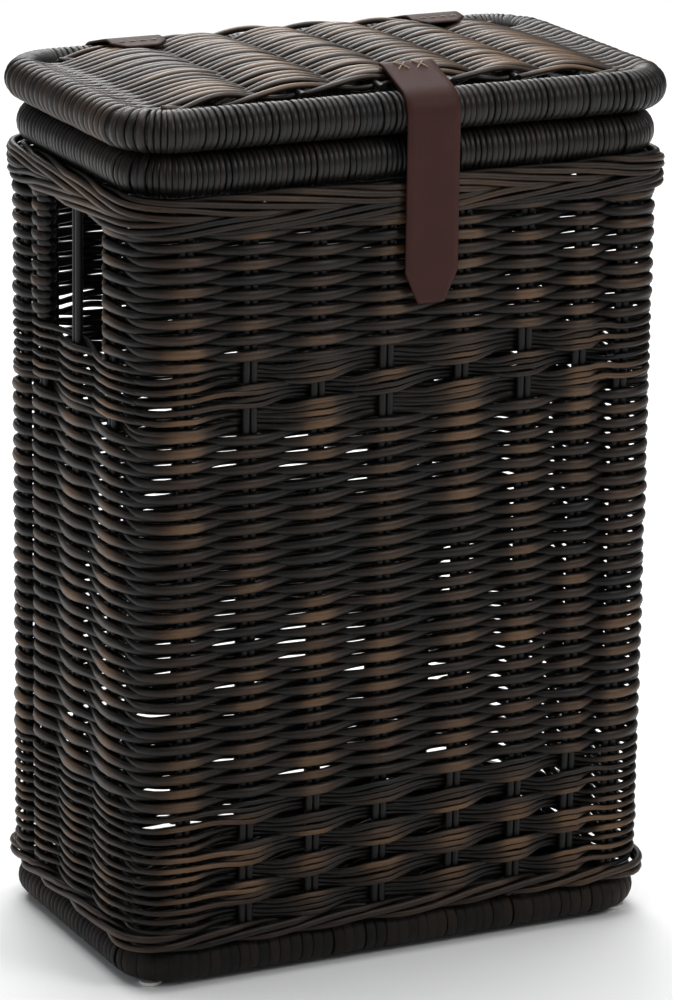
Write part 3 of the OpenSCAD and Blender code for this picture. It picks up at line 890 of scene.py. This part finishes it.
def floor_weave():
    """Floor strands, over and under the floor ribs."""
    low, high = span("base_panel")
    ribs = np.array([x for x, _ in clusters("base_ribs", 0)])
    pitch = 5.0 * MM
    rows = int((high[1] - low[1] - 2 * REED_TALL) / pitch)
    middle = (low[2] + high[2]) / 2
    strands = Strands()
    for row in range(rows + 1):
        y = (row - rows / 2) * pitch
        x = np.linspace(low[0] + 1 * MM, high[0] - 1 * MM, 71)
        signs = np.where((np.arange(len(ribs)) + row) % 2 == 0, 1.0, -1.0)
        knots = np.concatenate([[low[0]], ribs, [high[0]]])
        values = np.concatenate([[0], signs, [0]])
        i = np.clip(np.searchsorted(knots, x) - 1, 0, len(knots) - 2)
        t = smooth((x - knots[i]) / (knots[i + 1] - knots[i]))
        lift = values[i] * (1 - t) + values[i + 1] * t
        swing = STAKE_RADIUS + REED_DEEP * 0.9
        points = np.stack([x, y + Wobble(0.3 * MM, 0.1).at(x), middle + swing * lift * 0.9], 1)
        facing = np.tile([0.0, 0.0, 1.0], (len(x), 1))
        # Lighter where a strand passes over a rib: rubbed wear and a painted highlight.
        strands.add(points, facing, REED_DEEP, wear=np.clip(lift, 0, 1) * 0.6)
    return finish_piece(strands.build("floor_weave", wall_reed), "basket", ["base_panel"])


# ---------- Leather ----------

def leather_section(points_across=9):
    """Rounded-edge section of a strap: first coordinate is thickness, second is width."""
    across = np.linspace(-0.955, 0.955, points_across)
    top = np.stack([np.ones(points_across), across], 1)
    edge = np.array([(0.55, 0.992), (-0.55, 0.992)])
    bottom = np.stack([-np.ones(points_across), across[::-1]], 1)
    other = np.array([(-0.55, -0.992), (0.55, -0.992)])
    return np.concatenate([top, edge, bottom, other])


def resample(path, step):
    """Evenly spaced points along a polyline in the YZ plane."""
    path = np.asarray(path, float)
    along = np.concatenate([[0], np.cumsum(np.linalg.norm(np.diff(path, axis=0), axis=1))])
    count = int(along[-1] / step) + 1
    at = np.linspace(0, along[-1], count)
    return np.stack([np.interp(at, along, path[:, 0]), np.interp(at, along, path[:, 1])], 1), at


def arc_points(centre, radius, start, end, count=14):
    angle = np.radians(np.linspace(start, end, count))
    return np.stack([centre[0] + radius * np.cos(angle), centre[1] + radius * np.sin(angle)], 1)


def soften(path, rounds=3):
    for _ in range(rounds):
        path[1:-1] = (path[:-2] + 2 * path[1:-1] + path[2:]) / 4
    return path


def leather_strip(name, path, x, width, thickness, start_cut, end_cut, material):
    """Leather that follows a path; each cut is (length, end width) of a tapered end."""
    path, along = resample(path, 1.5 * MM)
    path = soften(path)
    total = along[-1]
    half = np.full(len(path), width / 2)
    for (cut, end_width), distance in ((start_cut, along), (end_cut, total - along)):
        taper = np.clip(distance / cut, 0, 1)
        half = np.minimum(half, end_width / 2 + (width - end_width) / 2 * taper)
    end_round = np.minimum(along, total - along) / (0.6 * thickness)
    thick = thickness / 2 * np.sqrt(np.clip(1 - (1 - np.clip(end_round, 0, 1)) ** 2, 0.12, 1))
    tangent = np.gradient(path, axis=0)
    tangent /= np.linalg.norm(tangent, axis=1)[:, None]
    out = np.stack([tangent[:, 1], -tangent[:, 0]], 1)
    points = np.stack([np.full(len(path), x), path[:, 0], path[:, 1]], 1)
    facing = np.stack([np.zeros(len(path)), out[:, 0], out[:, 1]], 1)
    # Lighter where the leather bends: wear at the fold and a painted highlight where it arches.
    bend = np.linalg.norm(np.gradient(tangent, axis=0), axis=1)
    wear = np.clip(soften(bend / 0.1, 4), 0, 1) * 0.35
    strip = Strands(leather_section())
    strip.add(points, facing, thick, half, wear=wear, tone=0.5)
    return strip.build(name, material)


def stitch(strands, start, end, up, height):
    """One stitch of two-ply thread, arched over the leather between two holes."""
    start = np.asarray(start, float)
    end = np.asarray(end, float)
    up = np.asarray(up, float)
    t = np.linspace(0, 1, 15)
    across = np.cross((end - start) / np.linalg.norm(end - start), up)
    line = start + (end - start) * t[:, None]
    arch = np.sin(np.clip(t, 0.02, 0.98) * math.pi) ** 0.5
    ply = 0.28 * MM
    for j in range(2):
        twist = 2 * math.pi * t * 2.5 + math.pi * j
        points = (line + ((arch * height) + ply * np.sin(twist))[:, None] * up
                  + (ply * np.cos(twist))[:, None] * across)
        strands.add(points, np.tile(up, (len(t), 1)), 0.36 * MM, wear=0.5, tone=0.5)


def lid_leather_path(side, gap, thickness):
    """Middle of leather drawn taut from the lid's panel over a rail; side -1 is the front."""
    rail, rail_z, rail_outer = lid_rail()
    tab = span("strap_root") if side < 0 else span("hinge_leaf_lid_left")
    inner_y = tab[1][1] if side < 0 else tab[0][1]
    centre = (rail.depth / 2, rail_z)
    radius = rail_outer + gap + thickness / 2
    panel_edge = span("lid_panel")[1][1]
    lie = PANEL_THICKNESS / 2 + gap + thickness / 2
    reach = abs(inner_y)
    x = 0.5 * abs(tab[0][0] + tab[1][0])
    places = np.linspace(reach, panel_edge, 6)
    rise = LACING_CLEARANCE * smooth((places - reach) / (panel_edge - reach))
    flat = np.stack([places, panel_height(x, places) + lie + rise], 1)
    offset = flat[-1] - centre
    taut = math.atan2(offset[1], offset[0]) - math.acos(radius / np.linalg.norm(offset))
    over = arc_points(centre, radius, math.degrees(taut), 0)
    path = np.concatenate([flat, over])
    path[:, 0] *= side
    return path


def leather_top(side, y, gap, thickness):
    """Height of the upper face of that leather at a place along the lid."""
    path = lid_leather_path(side, gap, thickness)
    order = np.argsort(path[:, 0])
    return np.interp(y, path[order, 0], path[order, 1]) + thickness / 2


def pull_strap():
    """The pull strap: one piece of leather from the lid, over the front rail, to its cut tip."""
    low, high = span("strap_flap")
    thickness = high[1] - low[1]
    x = (low[0] + high[0]) / 2
    path = lid_leather_path(-1, STRAP_GAP, thickness)
    hang_y = (low[1] + high[1]) / 2
    hang = [(hang_y, z) for z in np.linspace(path[-1][1] - 3 * MM, low[2], 12)]
    path = np.concatenate([path, np.array(hang)])[::-1]
    strap = leather_strip("pull_strap", path, x, high[0] - low[0], thickness,
                          (22 * MM, 20 * MM), (9 * MM, 22 * MM), pull_leather)
    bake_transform(strap)
    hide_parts("strap_root", "strap_flap")


def hinge_tab(name, sign):
    """A leather hinge: one tab from the lid's panel over the back rail and down to the wall."""
    side = "left" if sign < 0 else "right"
    low, high = span("hinge_leaf_body_" + side)
    thickness = high[1] - low[1]
    x = (low[0] + high[0]) / 2
    path = lid_leather_path(1, TAB_GAP, thickness)
    hang_y = (low[1] + high[1]) / 2
    hang = [(hang_y, z) for z in np.linspace(path[-1][1] - 3 * MM, low[2], 10)]
    path = np.concatenate([path, np.array(hang)])
    tab = leather_strip(name, path, x, high[0] - low[0], thickness,
                        (9 * MM, 24 * MM), (9 * MM, 24 * MM), tab_leather)
    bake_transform(tab)
    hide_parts("hinge_leaf_body_" + side, "hinge_leaf_lid_" + side)


def stitches():
    """Rows of stitches on the hinge tabs; crossed ones that tie the strap to the lacing."""
    up = np.array([0, 0, 1.0])
    row = (-12, -4, 4, 12)
    length = 5 * MM
    low, high = span("hinge_stitches_body")
    threads = Strands(round_section(6))
    y = low[1] - 0.1 * MM
    z = (low[2] + high[2]) / 2
    for sign in (-1, 1):
        centre = sign * (high[0] - 12 * MM - length / 2)
        for dx in row:
            x = centre + dx * MM
            stitch(threads, (x - length / 2, y, z), (x + length / 2, y, z), (0, 1, 0), 0.5 * MM)
    piece = threads.build("hinge_stitches_wall", thread)
    finish_piece(piece, "basket", ["hinge_stitches_body"])

    low, high = span("hinge_stitches_lid")
    threads = Strands(round_section(6))
    y = (low[1] + high[1]) / 2
    z = low[2] - 0.1 * MM
    for sign in (-1, 1):
        centre = sign * (high[0] - 12 * MM - length / 2)
        for dx in row:
            x = centre + dx * MM
            stitch(threads, (x - length / 2, y, z), (x + length / 2, y, z), up, 0.5 * MM)
    piece = threads.build("hinge_stitches_top", thread)
    finish_piece(piece, "lid", ["hinge_stitches_lid"])

    low, high = span("strap_stitches")
    flap_low, flap_high = span("strap_flap")
    lacing_low, lacing_high = span("lid_front_lacing")
    threads = Strands(round_section(6))
    x = (low[0] + high[0]) / 2
    arm = 4 * MM
    near, far = (lacing_low[1] + lacing_high[1]) / 2 + arm * np.array([-1, 1])
    near_z, far_z = leather_top(-1, np.array([near, far]), STRAP_GAP, flap_high[1] - flap_low[1])
    for sign in (-1, 1):
        centre = x + sign * 7 * MM
        stitch(threads, (centre - arm, near, near_z), (centre + arm, far, far_z), up, 0.5 * MM)
        stitch(threads, (centre - arm, far, far_z), (centre + arm, near, near_z), up, 1.1 * MM)
    piece = threads.build("strap_stitches_top", thread)
    finish_piece(piece, "lid", ["strap_stitches"])


# ---------- CAD pieces that stay ----------

def paint(node, material):
    """Gives a CAD node a material."""
    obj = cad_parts[node]
    obj.data.materials.clear()
    obj.data.materials.append(material)


def paint_frame():
    """Materials of the CAD nodes that no piece stands for."""
    for node in ("base_hoop", "rim_hoop", "lid_hoop", "base_ribs", "lid_ribs",
                 "stakes_front", "stakes_back", "stakes_left", "stakes_right"):
        paint(node, stake_rattan)
    paint("glides", glide_plastic)


# ---------- Camera, floor and light ----------

def camera():
    """A distant camera, left of the front and a little above, with angles in degrees."""
    azimuth, elevation, roll = (math.radians(a) for a in (-26.0, 16.3, 0.78))
    distance = 3.589
    direction = Vector((math.sin(azimuth) * math.cos(elevation),
                        -math.cos(azimuth) * math.cos(elevation), math.sin(elevation)))
    target = Vector((0, 0, 0.31))
    data = bpy.data.cameras.new("camera")
    data.lens = 181.3
    data.sensor_width = 36
    data.shift_x = 0.0062
    data.shift_y = -0.0099
    obj = bpy.data.objects.new("camera", data)
    rotation = direction.to_track_quat("Z", "Y").to_matrix().to_4x4()
    obj.matrix_world = (Matrix.Translation(target + direction * distance) @ rotation
                        @ Matrix.Rotation(roll, 4, "Z"))
    bpy.context.scene.collection.objects.link(obj)
    bpy.context.scene.camera = obj


def floor():
    """A wide pale floor."""
    material, tree, shader = new_material("floor")
    shader.inputs["Base Color"].default_value = (0.9, 0.9, 0.9, 1)
    shader.inputs["Roughness"].default_value = 0.9
    mesh = bpy.data.meshes.new("floor")
    size = 12
    corners = [(-size, -size, 0), (size, -size, 0), (size, size, 0), (-size, size, 0)]
    mesh.from_pydata(corners, [], [(0, 1, 2, 3)])
    mesh.materials.append(material)
    obj = bpy.data.objects.new("floor", mesh)
    bpy.context.scene.collection.objects.link(obj)


def area_light(name, place, target, size, power, colour=(1, 1, 1)):
    data = bpy.data.lights.new(name, "AREA")
    data.shape = "RECTANGLE"
    data.size, data.size_y = size
    data.energy = power
    data.color = colour
    obj = bpy.data.objects.new(name, data)
    direction = Vector(place) - Vector(target)
    obj.matrix_world = (Matrix.Translation(Vector(place))
                        @ direction.to_track_quat("Z", "Y").to_matrix().to_4x4())
    bpy.context.scene.collection.objects.link(obj)


def soft_sun(towards, strength, spread):
    """An even overhead softbox: a sun with a wide disc, in degrees."""
    data = bpy.data.lights.new("overhead", "SUN")
    data.energy = strength
    data.angle = math.radians(spread)
    obj = bpy.data.objects.new("overhead", data)
    obj.matrix_world = Vector(towards).to_track_quat("Z", "Y").to_matrix().to_4x4()
    bpy.context.scene.collection.objects.link(obj)


def lights():
    """A white backdrop that lights little, three soft area lights and an even light overhead."""
    world = bpy.data.worlds.new("studio")
    bpy.context.scene.world = world
    world.use_nodes = True
    tree = world.node_tree
    background = tree.nodes["Background"]
    seen = tree.nodes.new("ShaderNodeLightPath")
    level = tree.nodes.new("ShaderNodeMapRange")
    level.inputs["To Min"].default_value = 0.15
    level.inputs["To Max"].default_value = 1.0
    tree.links.new(seen.outputs["Is Camera Ray"], level.inputs["Value"])
    tree.links.new(level.outputs["Result"], background.inputs["Strength"])
    background.inputs["Color"].default_value = (1, 1, 1, 1)
    middle = (0, 0, 0.35)
    area_light("key", (1.4, -2.0, 2.2), middle, (1.0, 1.0), 26)
    area_light("back", (0.5, 2.3, 2.0), middle, (1.8, 1.0), 44)
    area_light("fill", (-2.4, -0.8, 1.0), middle, (0.8, 1.6), 8, (0.86, 0.93, 1.0))
    soft_sun((0.1, 0.25, 1.0), 2.9, 60)
    bpy.context.scene.view_settings.view_transform = "Standard"


camera()
floor()
lights()
woven_wall()
wrapped_poles()
lid_weave()
lid_lacing("lid_front_lacing_strands", "lid_front_lacing", 3.6 * MM)
lid_lacing("lid_back_lacing_strands", "lid_back_lacing", 3.8 * MM)
floor_weave()
pull_strap()
hinge_tab("hinge_tab_left", -1)
hinge_tab("hinge_tab_right", 1)
stitches()
paint_frame()
